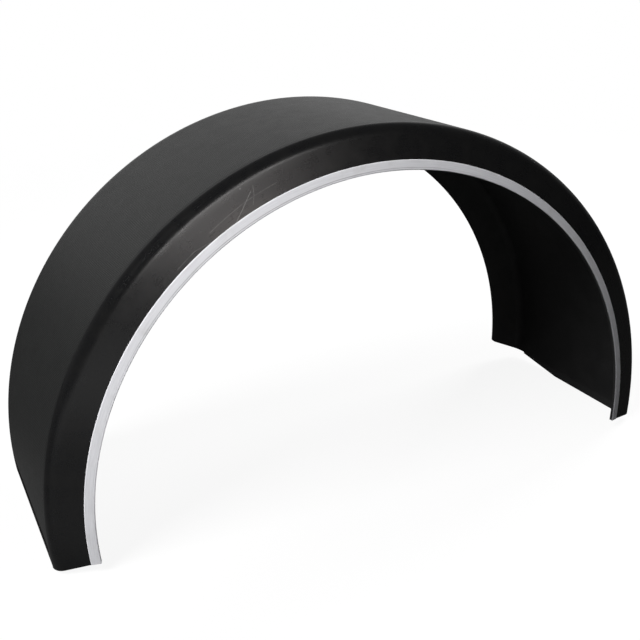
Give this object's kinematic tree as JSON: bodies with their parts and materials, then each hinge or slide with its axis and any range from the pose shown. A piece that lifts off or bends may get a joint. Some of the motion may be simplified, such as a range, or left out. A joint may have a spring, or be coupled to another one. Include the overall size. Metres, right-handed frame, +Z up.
{
  "type": "wheel mudguard",
  "caption": "Arched black plastic mudguard that covers a trailer wheel, with flared side skirts, turned-in lips at the feet and a pale trim strip along the front edge.",
  "frame": {"origin": "on the floor, under the middle of the guard's overall box", "axes": "+X along the wheel's travel, from one leg to the other; +Y from the skirt with the trim strip to the plain skirt, along the arch axis; +Z up"},
  "size_m": [0.72, 0.26, 0.4008],
  "materials": {
    "guard_shell": "fine embossed grain on the arched panel, smooth satin on shoulders and skirts, light handling scratches",
    "edge_strip": "pale grey satin trim"
  },
  "bodies": {
    "root": {"guard_shell": "guard_shell", "edge_strip": "edge_strip"}
  },
  "joints": []
}
